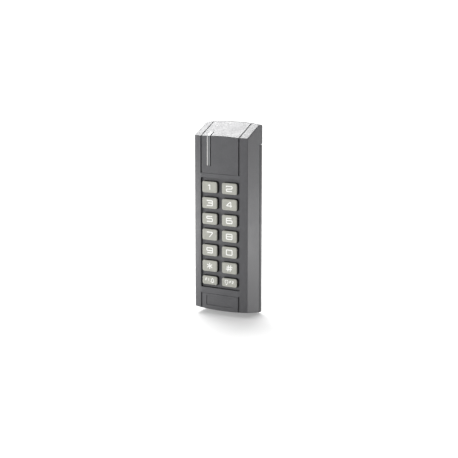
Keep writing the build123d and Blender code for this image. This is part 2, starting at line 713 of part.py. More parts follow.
# each key closes a pair of gold half-rounds on the board
with BuildPart() as key_contacts:
    with BuildSketch(Plane.XZ.offset(PCB_FRONT)):
        for row in range(len(ROWS)):
            with Locations(key_place(row, -1), key_place(row, 1)):
                Circle(PILL_RADIUS)
                Rectangle(0.5, 2 * PILL_RADIUS + 1, mode=Mode.SUBTRACT)
    extrude(amount=PAD_THICKNESS)
finish(key_contacts, "key_contacts")

LED_HEIGHT = 0.7
with BuildPart() as backlight_leds:
    for row in range(len(ROWS) - 1):
        between_rows = FIRST_KEY_TOP - row * KEY_PITCH - (KEY_HEIGHT + KEY_PITCH) / 2
        span(-0.8, 0.8, PCB_FRONT, PCB_FRONT + LED_HEIGHT, between_rows - 0.4, between_rows + 0.4)
finish(backlight_leds, "backlight_leds")

STATUS_LED_PITCH = 4.5
with BuildPart() as status_leds:
    for step in range(3):
        led_z = BAR_BOTTOM_Z + 1.9 + step * STATUS_LED_PITCH
        span(bar_x - 1.4, bar_x + 1.4, PCB_FRONT, PCB_FRONT + 1.9, led_z - 1.6, led_z + 1.6)
finish(status_leds, "status_leds")

# flat wound coil that reads the card, behind the card area
COIL_MIDDLE_Z = 48.6
COIL_WIDTH = 31.0
COIL_HEIGHT = 18.5
COIL_BAND = 1.8
with BuildPart() as antenna_coil:
    with BuildSketch(Plane.XZ.offset(PCB_FRONT)):
        with Locations((0, COIL_MIDDLE_Z)):
            RectangleRounded(COIL_WIDTH, COIL_HEIGHT, 3)
            RectangleRounded(COIL_WIDTH - 2 * COIL_BAND, COIL_HEIGHT - 2 * COIL_BAND, 1.5, mode=Mode.SUBTRACT)
    extrude(amount=1.2)
finish(antenna_coil, "antenna_coil")

SCREW_HEAD_RADIUS = 1.9
SCREW_HEAD_HEIGHT = 1.4
SCREW_LENGTH = 5.0
with BuildPart() as pcb_screws:
    with BuildSketch(Plane.XZ.offset(PCB_BACK - SCREW_HEAD_HEIGHT)):
        with Locations(*BOSS_PLACES):
            Circle(SCREW_HEAD_RADIUS)
    extrude(amount=SCREW_HEAD_HEIGHT)
    with BuildSketch(Plane.XZ.offset(PCB_BACK)):
        with Locations(*BOSS_PLACES):
            Circle(PILOT_RADIUS - 0.05)
    extrude(amount=SCREW_LENGTH)
    # cross recess in each head
    with BuildSketch(Plane.XZ.offset(PCB_BACK - SCREW_HEAD_HEIGHT)):
        with Locations(*BOSS_PLACES):
            Rectangle(2.0, 0.45)
            Rectangle(0.45, 2.0)
    extrude(amount=0.8, mode=Mode.SUBTRACT)
finish(pcb_screws, "pcb_screws")

# ---- Parts on the back of the board ------------------------------------------------------------
TERMINAL_WAYS = 8
TERMINAL_PITCH = 3.5
TERMINAL_DEPTH = 9.0
TERMINAL_LOW_Z = -10.0
TERMINAL_HIGH_Z = -2.0
TERMINAL_SCREW_RADIUS = 1.2
terminal_back = PCB_BACK - TERMINAL_DEPTH
terminal_places = [(TERMINAL_PITCH * (way - (TERMINAL_WAYS - 1) / 2)) for way in range(TERMINAL_WAYS)]
with BuildPart() as terminal_block:
    half_block = TERMINAL_WAYS * TERMINAL_PITCH / 2 + 0.4
    span(-half_block, half_block, terminal_back, PCB_BACK, TERMINAL_LOW_Z, TERMINAL_HIGH_Z)
    back_edges = terminal_block.faces().sort_by(Axis.Y)[-1].edges().filter_by(Axis.X)
    chamfer(back_edges, 0.8)
    # a wire goes in from above and a screw clamps it from behind, at each way
    for way_x in terminal_places:
        span(way_x - 1.1, way_x + 1.1, PCB_BACK - 5.2, PCB_BACK - 2.4, -6, 0, mode=Mode.SUBTRACT)
    with BuildSketch(Plane.XZ.offset(terminal_back)):
        with Locations(*[(way_x, -6) for way_x in terminal_places]):
            Circle(TERMINAL_SCREW_RADIUS + 0.1)
    extrude(amount=3.8, mode=Mode.SUBTRACT)
finish(terminal_block, "terminal_block")

with BuildPart() as terminal_screws:
    with BuildSketch(Plane.XZ.offset(terminal_back + 0.6)):
        with Locations(*[(way_x, -6) for way_x in terminal_places]):
            Circle(TERMINAL_SCREW_RADIUS)
    extrude(amount=3.2)
    with BuildSketch(Plane.XZ.offset(terminal_back + 0.6)):
        with Locations(*[(way_x, -6) for way_x in terminal_places]):
            Rectangle(2 * TERMINAL_SCREW_RADIUS + 1, 0.5)
    extrude(amount=0.6, mode=Mode.SUBTRACT)
finish(terminal_screws, "terminal_screws")

BUZZER_PLACE = (-9.0, -45.0)
BUZZER_RADIUS = 6.0
BUZZER_HEIGHT = 7.0
with BuildPart() as buzzer:
    with BuildSketch(Plane.XZ.offset(PCB_BACK - BUZZER_HEIGHT)):
        with Locations(BUZZER_PLACE):
            Circle(BUZZER_RADIUS)
    extrude(amount=BUZZER_HEIGHT)
    fillet(buzzer.faces().sort_by(Axis.Y)[-1].edges(), 0.6)
    with BuildSketch(Plane.XZ.offset(PCB_BACK - BUZZER_HEIGHT)):
        with Locations(BUZZER_PLACE):
            Circle(1.0)
    extrude(amount=3, mode=Mode.SUBTRACT)
finish(buzzer, "buzzer")


def chip(body, height, pins, pin_pitch):
    """A flat chip on the back of the board, with a row of pins on its two upright sides."""
    (x_from, x_to, z_from, z_to) = body
    with BuildPart() as package:
        span(x_from, x_to, PCB_BACK - height, PCB_BACK - 0.1, z_from, z_to)
        rows_middle = (z_from + z_to) / 2
        for pin in range(pins):
            pin_z = rows_middle + pin_pitch * (pin - (pins - 1) / 2)
            half_pin = pin_pitch / 4
            span(x_from - 0.9, x_from + 0.2, PCB_BACK - 0.3, PCB_BACK, pin_z - half_pin, pin_z + half_pin)
            span(x_to - 0.2, x_to + 0.9, PCB_BACK - 0.3, PCB_BACK, pin_z - half_pin, pin_z + half_pin)
    return package


finish(chip((-5, 5, 4, 14), 1.3, 11, 0.8), "microcontroller")
finish(chip((-2.5, 2.5, 44, 50.4), 1.1, 6, 0.95), "radio_chip")
finish(chip((9.5, 15.5, -24, -18), 2.3, 3, 2.2), "voltage_regulator")

with BuildPart() as crystal:
    with BuildSketch(Plane.XZ.offset(PCB_BACK - 3.2)):
        with Locations((-12.5, 9)):
            RectangleRounded(4.4, 11, 2.1)
    extrude(amount=3.2)
finish(crystal, "crystal")

CAPACITOR_PLACES = [(-13.0, -21.0), (-4.5, -21.0)]
with BuildPart() as capacitors:
    with BuildSketch(Plane.XZ.offset(PCB_BACK - 6.0)):
        with Locations(*CAPACITOR_PLACES):
            Circle(3.15)
    extrude(amount=5.2)
    with BuildSketch(Plane.XZ.offset(PCB_BACK - 0.8)):
        with Locations(*CAPACITOR_PLACES):
            Rectangle(6.6, 6.6)
    extrude(amount=0.8)
finish(capacitors, "capacitors")

with BuildPart() as surface_mount_parts:
    for column in range(4):
        for line in range(3):
            part_x = 8.5 + 2.9 * column
            part_z = 20 - 4.5 * line
            span(part_x - 0.6, part_x + 0.6, PCB_BACK - 0.6, PCB_BACK, part_z - 1.0, part_z + 1.0)
            span(part_x - 16.6, part_x - 15.4, PCB_BACK - 0.6, PCB_BACK, part_z + 19, part_z + 21)
finish(surface_mount_parts, "surface_mount_parts")

# ---- Tamper switch and plunger -----------------------------------------------------------------
SWITCH_HEIGHT = 3.4
PLUNGER_BACK = 11.6
COLLAR_RADIUS = 2.6
COLLAR_FROM = 9.2
COLLAR_TO = 8.2
SPRING_RADIUS = 1.9
SPRING_WIRE = 0.2
SPRING_TURNS = 3.5
with BuildPart() as tamper_switch:
    switch_top = PCB_BACK - SWITCH_HEIGHT
    span(TAMPER_X - 3, TAMPER_X + 3, switch_top, PCB_BACK, TAMPER_Z - 3, TAMPER_Z + 3)
    with BuildSketch(Plane.XZ.offset(switch_top - 0.5)):
        with Locations((TAMPER_X, TAMPER_Z)):
            Circle(1.2)
    extrude(amount=0.5)
finish(tamper_switch, "tamper_switch")

with BuildPart() as tamper_plunger:
    with BuildSketch(Plane.XZ):
        with Locations((TAMPER_X, TAMPER_Z)):
            Circle(PLUNGER_RADIUS)
    extrude(amount=PLUNGER_BACK)
    chamfer(tamper_plunger.faces().sort_by(Axis.Y)[-1].edges(), 0.3)
    with BuildSketch(Plane.XZ.offset(COLLAR_TO)):
        with Locations((TAMPER_X, TAMPER_Z)):
            Circle(COLLAR_RADIUS)
    extrude(amount=COLLAR_FROM - COLLAR_TO)
finish(tamper_plunger, "tamper_plunger")

# coil spring between the switch's body and the collar, squeezed while the reader is on its wall
spring_start = switch_top - SPRING_WIRE - 0.03
spring_length = spring_start - COLLAR_FROM - SPRING_WIRE - 0.03
with BuildPart() as tamper_spring:
    with BuildLine() as coil:
        Helix(
            pitch=spring_length / SPRING_TURNS,
            height=spring_length,
            radius=SPRING_RADIUS,
            center=(TAMPER_X, -spring_start, TAMPER_Z),
            direction=(0, 1, 0),
        )
    with BuildSketch(Plane(coil.line @ 0, z_dir=coil.line % 0)):
        Circle(SPRING_WIRE)
    sweep(path=coil.line, is_frenet=True)
finish(tamper_spring, "tamper_spring")
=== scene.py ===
# %% [markdown]
# # A wall-mounted keypad access reader
# The CAD model gives every shape its size and place. This script loads it as a fixed frame and
# gives it its looks: keys with their figures, a clear light bar, and a material made from nodes
# for every piece. All lengths are in metres, so MM turns millimetres into them.

# %% Load the imported model
import json
from math import cos, pi, radians, sin

import bmesh
import bpy
from mathutils import Matrix, Vector


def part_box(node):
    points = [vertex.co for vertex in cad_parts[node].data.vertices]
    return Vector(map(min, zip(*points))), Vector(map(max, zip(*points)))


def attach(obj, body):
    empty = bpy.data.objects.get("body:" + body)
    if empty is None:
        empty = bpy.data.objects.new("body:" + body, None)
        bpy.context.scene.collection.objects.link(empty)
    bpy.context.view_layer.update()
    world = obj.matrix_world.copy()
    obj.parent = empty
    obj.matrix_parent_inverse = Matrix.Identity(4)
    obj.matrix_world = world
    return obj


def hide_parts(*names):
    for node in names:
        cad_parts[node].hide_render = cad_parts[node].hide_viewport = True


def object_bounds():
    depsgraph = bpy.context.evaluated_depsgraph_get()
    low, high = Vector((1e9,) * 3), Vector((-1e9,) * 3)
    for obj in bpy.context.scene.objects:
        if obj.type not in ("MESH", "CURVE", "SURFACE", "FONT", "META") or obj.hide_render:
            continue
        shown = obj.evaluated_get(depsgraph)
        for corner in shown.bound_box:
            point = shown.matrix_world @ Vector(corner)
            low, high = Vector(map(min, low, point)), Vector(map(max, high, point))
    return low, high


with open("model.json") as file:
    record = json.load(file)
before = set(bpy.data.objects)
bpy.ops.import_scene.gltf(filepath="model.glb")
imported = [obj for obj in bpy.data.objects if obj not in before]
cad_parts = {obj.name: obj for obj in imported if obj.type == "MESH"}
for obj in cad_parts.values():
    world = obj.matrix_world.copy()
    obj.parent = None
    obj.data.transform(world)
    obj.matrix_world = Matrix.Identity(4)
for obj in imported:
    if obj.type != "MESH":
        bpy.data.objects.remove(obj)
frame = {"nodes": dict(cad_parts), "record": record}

MM = 0.001
nodes = frame["nodes"]
scene = bpy.context.scene
cad_low, cad_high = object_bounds()
print("CAD box in mm:", [round(v / MM, 2) for v in (cad_high - cad_low)])

# %% [markdown]
# ## Camera
# The reader stands a little below eye height and is seen from its front right, from about a
# metre away with a long lens, so its upright edges stay almost parallel. The camera isn't
# shifted, and depth of field stays off.

# %% Place the camera
CAMERA_PLACE = Vector((513.1, -867.2, 177.8)) * MM
bpy.ops.object.camera_add(location=CAMERA_PLACE, rotation=(radians(79.41), 0, radians(30.93)))
camera = bpy.context.object
camera.name = "camera"
camera.data.sensor_width = 36
camera.data.lens = 100.3
camera.data.clip_start = 0.05
scene.camera = camera
print("camera is", round(CAMERA_PLACE.length, 3), "m from the middle of the wall face")

# %% [markdown]
# ## Helpers for colours and nodes
# A picked colour is an sRGB hex value, but a shader wants linear light, so one function turns
# it over. A second one adds a shader node with its settings and its links in one go.

# %% Colour and node helpers
def linear(hex_code):
    """An sRGB hex colour as linear red, green, blue and alpha."""
    parts = [int(hex_code[i : i + 2], 16) / 255 for i in (0, 2, 4)]
    return [c / 12.92 if c <= 0.04045 else ((c + 0.055) / 1.055) ** 2.4 for c in parts] + [1]


def add_node(tree, kind, settings=None, **inputs):
    """Adds a node. An input is a value, or a socket of another node to link from."""
    made = tree.nodes.new("ShaderNode" + kind)
    for name, value in (settings or {}).items():
        setattr(made, name, value)
    for name, value in inputs.items():
        socket = made.inputs[int(name[1:]) if name[1:].isdigit() else name.replace("_", " ")]
        if isinstance(value, bpy.types.NodeSocket):
            tree.links.new(value, socket)
        else:
            socket.default_value = value
    return made


def new_material(name, **shader_values):
    """A material with one Principled shader, whose uniform values are set on its sockets."""
    material = bpy.data.materials.new(name)
    material.use_nodes = True
    tree = material.node_tree
    tree.nodes.clear()
    shader = add_node(tree, "BsdfPrincipled", **shader_values)
    add_node(tree, "OutputMaterial", Surface=shader.outputs["BSDF"])
    return material, tree, shader


def two_colours(tree, share, first, second):
    """A colour that goes from the first to the second as share goes from 0 to 1."""
    ramp = add_node(tree, "ValToRGB", Fac=share)
    ramp.color_ramp.elements[0].color = linear(first) if isinstance(first, str) else first
    ramp.color_ramp.elements[1].color = linear(second) if isinstance(second, str) else second
    return ramp


def narrow_ramp(tree, share, low, high):
    """A value that rises from 0 to 1 while share goes from low to high."""
    return add_node(
        tree, "MapRange", {"clamp": True}, Value=share, From_Min=low, From_Max=high
    ).outputs["Result"]


def moulded_surface(
    name, dark, light, grain_mm, bump, roughness, patch_mm=9.0, stretch=(1, 1, 1), **shader_values
):
    """Two close colours in soft patches, and a grain that bumps the surface.

    A stretch above 1 squeezes the grain along that axis, which gives turning or brushing marks.
    """
    material, tree, shader = new_material(name, **shader_values)
    place = add_node(tree, "TexCoord").outputs["Object"]
    patches = add_node(
        tree, "TexNoise", Vector=place, Scale=1 / (patch_mm * MM), Detail=3.0, Roughness=0.6
    ).outputs["Fac"]
    squeezed = add_node(tree, "Mapping", Vector=place, Scale=stretch).outputs["Vector"]
    grain = add_node(
        tree, "TexNoise", Vector=squeezed, Scale=1 / (grain_mm * MM), Detail=2.0, Roughness=0.55
    ).outputs["Fac"]
    both = add_node(
        tree, "Mix", {"data_type": "FLOAT"}, Factor=0.45, i2=patches, i3=grain
    ).outputs[0]
    colour = two_colours(tree, narrow_ramp(tree, both, 0.35, 0.65), dark, light)
    rough = add_node(
        tree, "MapRange", Value=patches, From_Min=0.3, From_Max=0.7,
        To_Min=roughness - 0.05, To_Max=roughness + 0.05,
    ).outputs["Result"]
    bumps = add_node(
        tree, "Bump", Height=grain, Strength=bump, Distance=grain_mm * MM * 0.5
    ).outputs["Normal"]
    tree.links.new(colour.outputs["Color"], shader.inputs["Base Color"])
    tree.links.new(rough, shader.inputs["Roughness"])
    tree.links.new(bumps, shader.inputs["Normal"])
    return material, tree, shader, {"place": place, "patches": patches, "grain": grain}


print("mid grey 808080 is", round(linear("808080")[0], 3), "in linear light")

# %% [markdown]
# ## Floor, room and lights
# The reader stands upright on a plain pale floor: a backlit white acrylic sheet, which glows a
# little, so that shadows on it stay soft and pale. The room is white and gives even light from
# every side but the right, which has no lamp, so the reader's side is darker at its top. One
# wide softbox hangs behind and above to the left: it grazes the sloping top, which is why that
# face is far paler than the front, though it is the same plastic. It is a sun lamp with a wide
# angle, so it lights the whole floor alike. Two small softboxes stand low beside the reader:
# the left one makes the left margin brighter than the right one, and the right one lifts the
# lower half of the side.

# %% Floor
FLOOR_SIZE = 60  # so large that its edge is never seen
FLOOR_GAP = 0.1 * MM
bpy.ops.mesh.primitive_plane_add(size=FLOOR_SIZE, location=(0, 0, cad_low.z - FLOOR_GAP))
floor = bpy.context.object
floor.name = "floor"
floor_paint, tree, shader = new_material(
    "backlit_white_acrylic", Specular_IOR_Level=0.1,
    Emission_Color=(1, 1, 1, 1), Emission_Strength=0.3,
)
place = add_node(tree, "TexCoord").outputs["Object"]
mottle = add_node(tree, "TexNoise", Vector=place, Scale=14.0, Detail=3.0).outputs["Fac"]
tree.links.new(
    two_colours(tree, mottle, "CCCCCC", "D2D2D2").outputs["Color"], shader.inputs["Base Color"]
)
shader.inputs["Roughness"].default_value = 0.9
floor.data.materials.append(floor_paint)
print("floor at", round(floor.location.z / MM, 2), "mm")

# %% Room light and softboxes
room = bpy.data.worlds.new("white_room")
room.use_nodes = True
tree = room.node_tree
direction = add_node(tree, "TexCoord").outputs["Generated"]
DARK_SIDE = Vector((0.90, 0.10, 0.42))  # the right side of the room has no lamp
towards = add_node(
    tree, "VectorMath", {"operation": "DOT_PRODUCT"}, i0=direction, i1=DARK_SIDE
).outputs["Value"]
strength = add_node(
    tree, "MapRange", {"interpolation_type": "SMOOTHSTEP"}, Value=towards,
    From_Min=0.2, From_Max=1.0, To_Min=0.97, To_Max=0.1,
).outputs["Result"]
tree.links.new(strength, tree.nodes["Background"].inputs["Strength"])
tree.nodes["Background"].inputs["Color"].default_value = (1, 1, 1, 1)
scene.world = room
scene.view_settings.view_transform = "Standard"
scene.view_settings.look = "None"


OVERHEAD_ANGLE = 44  # how wide the overhead softbox looks from the reader, in degrees
OVERHEAD_STRENGTH = 3.9


def softbox(name, direction, distance, size, radiance):
    """A square area light that looks at the object's middle and has the given brightness."""
    away = Vector(direction).normalized()
    bpy.ops.object.light_add(type="AREA", location=away * distance)
    light = bpy.context.object
    light.name = name
    light.rotation_euler = away.to_track_quat("Z", "Y").to_euler()
    light.data.size = size
    light.data.energy = radiance * pi * size**2
    light.visible_camera = False
    return light


bpy.ops.object.light_add(type="SUN", location=(-0.42, 0.45, 0.78))
overhead = bpy.context.object
overhead.name = "overhead_softbox"
overhead.rotation_euler = overhead.location.to_track_quat("Z", "Y").to_euler()
overhead.data.angle = radians(OVERHEAD_ANGLE)
overhead.data.energy = OVERHEAD_STRENGTH
softbox("softbox_front_left", (-0.85, -0.48, -0.22), 0.24, 0.1, 6.0)
softbox("softbox_low_right", (0.75, 0.65, -0.27), 0.2, 0.08, 3.2)

# %% [markdown]
# ## Housing plastic
# The housing is injection-moulded polycarbonate blend in dark grey. The mould is spark-eroded,
# which prints a fine even grain on it, so it is neither matt nor glossy: a broad soft shine
# that shows best at a low angle. The real grain is about 0.1 mm and is drawn at 0.4 mm, or it
# wouldn't show.

# %% Housing and base plastics
housing_plastic, *_ = moulded_surface(
    "spark_textured_polycarbonate", "3E3E41", "49494C", 0.4, 0.5, 0.40, IOR=1.58
)
# painted shade: the base is the housing's plastic made darker, for the narrow strip at the back
# that lies in shade
base_plastic, *_ = moulded_surface(
    "spark_textured_black_polycarbonate", "2C2C2E", "343436", 0.5, 0.3, 0.45, IOR=1.58
)
black_plastic, *_ = moulded_surface(
    "moulded_black_abs", "161617", "1E1E1F", 0.5, 0.2, 0.35, IOR=1.54
)
print("housing:", housing_plastic.name)

# %% [markdown]
# ## Rubbers
# The keys, the mat, the gasket and the grommet are silicone rubber. Bare silicone is black and
# matt, and it picks up a little dust. The keys' tops are sprayed with a warm grey coat, and a
# laser has burnt the figures through to a white layer.

# %% Rubber materials
black_rubber, *_ = moulded_surface(
    "moulded_black_silicone", "131313", "1B1B1B", 0.6, 0.2, 0.7, IOR=1.41
)
carbon_rubber, *_ = moulded_surface(
    "carbon_filled_silicone", "0B0B0B", "141414", 0.4, 0.2, 0.6, IOR=1.41
)

key_rubber, tree, shader, maps = moulded_surface(
    "sprayed_silicone_keys", "9C9C94", "ABABA2", 0.7, 0.25, 0.55, patch_mm=2.2, IOR=1.45
)
KEY_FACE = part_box("key_1")[0].y
SPRAY_DEPTH = 0.75 * MM  # the coat wraps this far round the keys' edges
SPRAY_BLUR = 0.15 * MM
SPRAY_RAGGED = 0.12 * MM
depth = add_node(tree, "SeparateXYZ", Vector=maps["place"]).outputs["Y"]
ragged = add_node(
    tree, "Math", {"operation": "MULTIPLY_ADD"}, i0=maps["grain"], i1=SPRAY_RAGGED, i2=depth
).outputs[0]
spray_end = KEY_FACE + SPRAY_DEPTH
bare = narrow_ramp(tree, ragged, spray_end, spray_end + SPRAY_BLUR)
coat = shader.inputs["Base Color"].links[0].from_socket
tree.links.new(
    add_node(tree, "Mix", {"data_type": "RGBA"}, i0=bare, i6=coat, i7=linear("1C1C1C")).outputs[2],
    shader.inputs["Base Color"],
)
print("key tops are", round(-KEY_FACE / MM, 2), "mm from the wall")

legend_white, *_ = moulded_surface(
    "laser_etched_white_silicone", "E4E4E0", "EFEFEC", 0.5, 0.1, 0.6, IOR=1.45
)

# %% [markdown]
# ## Clear bar and pale plastics
# The bar is polished polycarbonate over a dark holder, so it looks smoky grey. Painted highlights
# run along its two long edges, where the chamfers catch light. The colour is mixed by place: how
# far a point is across the bar decides between smoke and highlight, and the highlight ends under
# the front edge.

# %% Smoky clear bar
bar_clear, tree, shader, maps = moulded_surface(
    "polished_smoky_polycarbonate", "5A5B5D", "646567", 0.8, 0.05, 0.22, IOR=1.58
)
bar_low, bar_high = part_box("light_bar")
LEFT_HIGHLIGHT = 0.62 * MM  # painted highlight along the bar's left edge, this wide
RIGHT_HIGHLIGHT = 0.6 * MM
HIGHLIGHT_TOP = 66.2 * MM  # the painted highlights end just under the front edge
LEFT_BLUR = 0.15 * MM
RIGHT_BLUR = 0.2 * MM
TOP_BLUR = 0.3 * MM
apart = add_node(tree, "SeparateXYZ", Vector=maps["place"])
across, upward = apart.outputs["X"], apart.outputs["Z"]
below = narrow_ramp(tree, upward, HIGHLIGHT_TOP, HIGHLIGHT_TOP - TOP_BLUR)
left_edge = bar_low.x + LEFT_HIGHLIGHT
right_edge = bar_high.x - RIGHT_HIGHLIGHT
left, right = (
    add_node(tree, "Math", {"operation": "MULTIPLY"}, i0=below, i1=edge).outputs[0]
    for edge in (
        narrow_ramp(tree, across, left_edge, left_edge - LEFT_BLUR),
        narrow_ramp(tree, across, right_edge - RIGHT_BLUR, right_edge),
    )
)
smoke = shader.inputs["Base Color"].links[0].from_socket
# painted highlight: a faint pale line along the right edge, where its chamfer catches light
with_right_highlight = add_node(
    tree, "Mix", {"data_type": "RGBA"}, i0=right, i6=smoke, i7=linear("7C7E80")
).outputs[2]
# painted highlight: a near-white line along the left edge, where its chamfer catches the left light
tree.links.new(
    add_node(
        tree, "Mix", {"data_type": "RGBA"}, i0=left, i6=with_right_highlight, i7=linear("DADAD8")
    ).outputs[2],
    shader.inputs["Base Color"],
)
# the width printed is that of the painted highlight on the left edge
print("white guide shows", round(LEFT_HIGHLIGHT / MM, 2), "mm wide")

# %% Pale plastics and the moulded parts on the board
led_resin, *_ = moulded_surface(
    "moulded_led_resin", "E3E1D2", "EFEDDF", 0.4, 0.1, 0.25, IOR=1.5
)
acetal, *_ = moulded_surface(
    "natural_acetal", "DAD9D2", "E6E5DE", 0.6, 0.1, 0.35, IOR=1.48
)
terminal_plastic, *_ = moulded_surface(
    "moulded_green_nylon", "1F6B3A", "257A44", 0.5, 0.2, 0.4, IOR=1.53
)
chip_epoxy, *_ = moulded_surface(
    "moulded_chip_epoxy", "1B1B1D", "252527", 0.15, 0.25, 0.5, IOR=1.55
)
chip_ceramic, *_ = moulded_surface(
    "fired_capacitor_ceramic", "A3815E", "B8946E", 0.3, 0.15, 0.45
)
print("LED resin:", led_resin.name)

# %% [markdown]
# ## Metals
# Screws and the insert are turned, so their marks run round them: the grain is squeezed along
# their axis, which draws fine lines across it. Springs and cans are drawn, and their marks run
# along the pull. A metal has no base reflection to set, so its IOR stays as it is.

# %% Metals
TURNED = (1, 14, 1)  # marks round an axis that runs towards the wall
zinc_steel, *_ = moulded_surface(
    "zinc_plated_turned_steel", "A9ADB2", "C8CACD", 1.4, 0.25, 0.3, stretch=TURNED, Metallic=1.0
)
brass, *_ = moulded_surface(
    "turned_brass", "BD9850", "D9B76C", 1.4, 0.25, 0.28, stretch=(1, 1, 14), Metallic=1.0
)
gold, *_ = moulded_surface("gold_flash", "DDB453", "EFCE72", 0.2, 0.15, 0.25, Metallic=1.0)
spring_steel, *_ = moulded_surface(
    "drawn_spring_steel", "94979B", "B6B9BC", 0.8, 0.15, 0.3, stretch=TURNED, Metallic=1.0
)
aluminium, *_ = moulded_surface(
    "drawn_aluminium_can", "B5B8BB", "D3D5D7", 1.2, 0.2, 0.32, stretch=(6, 1, 6), Metallic=1.0
)
print("turning marks every", round(1.4 / TURNED[1], 2), "mm")

# %% [markdown]
# ## Coil winding
# The card is read by a flat coil of enamelled copper wire. Its turns follow the rounded
# rectangle, so the pattern is the distance to the coil's outer edge: that distance goes through
# a sine, and each wave is one turn. The real wire is about 0.1 mm thick and is drawn at 0.3 mm.

# %% Enamelled copper winding
WIRE = 0.3 * MM
coil_low, coil_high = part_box("antenna_coil")
copper, tree, shader, maps = moulded_surface(
    "enamelled_copper_winding", "9A4E26", "B5622F", 0.3, 0.2, 0.3, Metallic=1.0
)
centred = add_node(
    tree, "Mapping", Vector=maps["place"], Location=-(coil_low + coil_high) / 2
).outputs["Vector"]
away = add_node(tree, "VectorMath", {"operation": "ABSOLUTE"}, i0=centred).outputs["Vector"]
inside = add_node(
    tree, "VectorMath", {"operation": "SUBTRACT"}, i0=away, i1=(coil_high - coil_low) / 2
).outputs["Vector"]
sides = add_node(tree, "SeparateXYZ", Vector=inside)
to_rim = add_node(
    tree, "Math", {"operation": "MAXIMUM"}, i0=sides.outputs["X"], i1=sides.outputs["Z"]
).outputs[0]
angle = add_node(tree, "Math", {"operation": "MULTIPLY"}, i0=to_rim, i1=2 * pi / WIRE).outputs[0]
wave = add_node(tree, "Math", {"operation": "SINE"}, i0=angle).outputs[0]
crest = narrow_ramp(tree, wave, -1, 0.2)
enamel = shader.inputs["Base Color"].links[0].from_socket
# painted shade: the grooves between the turns are darkened to 4A2210, and only each wire's crest
# keeps the copper colour
tree.links.new(
    add_node(
        tree, "Mix", {"data_type": "RGBA"}, i0=crest, i6=linear("4A2210"), i7=enamel
    ).outputs[2],
    shader.inputs["Base Color"],
)
tree.links.new(
    add_node(tree, "Bump", Height=crest, Strength=0.8, Distance=WIRE / 3).outputs["Normal"],
    shader.inputs["Normal"],
)
print("turns across the band:", round(1.8 * MM / WIRE))

# %% [markdown]
# ## Circuit board
# The board is woven glass fibre with copper tracks, all under a green solder mask. The tracks
# show through as paler, slightly raised lines. A brick pattern with thin joints gives lines
# that run straight and turn at right angles, as tracks do.

# %% Circuit board
TRACK = 0.35  # track width in millimetres
circuit_board, tree, shader, maps = moulded_surface(
    "solder_masked_glass_fibre", "0C4A26", "125A30", 0.6, 0.2, 0.3, IOR=1.52
)
apart = add_node(tree, "SeparateXYZ", Vector=maps["place"])
flat_place = add_node(
    tree, "CombineXYZ", X=apart.outputs["Z"], Y=apart.outputs["X"]
).outputs["Vector"]
tracks = add_node(
    tree, "TexBrick", {"offset": 0.37, "offset_frequency": 2, "squash": 1.7, "squash_frequency": 3},
    Vector=flat_place, Scale=1 / MM, Mortar_Size=TRACK / 2, Mortar_Smooth=0.2,
    Brick_Width=7.3, Row_Height=1.9,
).outputs["Fac"]
mask = shader.inputs["Base Color"].links[0].from_socket
tree.links.new(
    add_node(
        tree, "Mix", {"data_type": "RGBA"}, i0=tracks, i6=mask, i7=linear("2A7D47")
    ).outputs[2],
    shader.inputs["Base Color"],
)
tree.links.new(
    add_node(
        tree, "Bump", Height=tracks, Strength=0.6, Distance=0.035 * MM,
        Normal=shader.inputs["Normal"].links[0].from_socket,
    ).outputs["Normal"],
    shader.inputs["Normal"],
)
print("tracks are", TRACK, "mm wide")

# %% [markdown]
# ## Finishes for the pieces that keep their CAD shape
# Each node's object has its own material slots, so a finish is given by setting them. The mesh
# and its place stay as the CAD made them.

# %% Give the CAD nodes their finishes
FINISH_OF_SLOT = {
    "housing_plastic": housing_plastic,
    "base_plastic": base_plastic,
    "seal_rubber": black_rubber,
    "mat_rubber": black_rubber,
    "key_rubber": key_rubber,
    "carbon_rubber": carbon_rubber,
    "screw_steel": zinc_steel,
    "brass_insert": brass,
    "clear_bar": bar_clear,
    "black_plastic": black_plastic,
    "circuit_board": circuit_board,
    "gold_pads": gold,
    "led_plastic": led_resin,
    "copper_wire": copper,
    "terminal_plastic": terminal_plastic,
    "chip_plastic": chip_epoxy,
    "metal_can": aluminium,
    "chip_ceramic": chip_ceramic,
    "plunger_plastic": acetal,
    "spring_steel": spring_steel,
}
slot_of = {part["node"]: part["material_slot"] for part in frame["record"]["subparts"]}
for name, node in nodes.items():
    node.data.materials.clear()
    node.data.materials.append(FINISH_OF_SLOT[slot_of[name]])
print(len(nodes), "CAD nodes have a finish")


# %% [markdown]
# ## Helpers for modelling
# An operator works on everything that is selected, so each step first deselects all and then
# selects faces or edges by their place. The helpers do what a hand does in edit mode.

# %% Selecting helpers
def deselect_all():
    if bpy.context.mode != "OBJECT":
        bpy.ops.object.mode_set(mode="OBJECT")
    bpy.ops.object.select_all(action="DESELECT")


def edit_faces(piece, wanted):
    """Goes to edit mode with only the faces selected for which wanted(centre, normal) is true."""
    deselect_all()
    piece.select_set(True)
    bpy.context.view_layer.objects.active = piece
    bpy.ops.object.mode_set(mode="EDIT")
    bpy.ops.mesh.select_mode(type="FACE")
    bpy.ops.mesh.select_all(action="DESELECT")
    mesh = bmesh.from_edit_mesh(piece.data)
    for face in mesh.faces:
        face.select_set(bool(wanted(face.calc_center_median(), face.normal)))
    bmesh.update_edit_mesh(piece.data)
    return sum(face.select for face in mesh.faces)


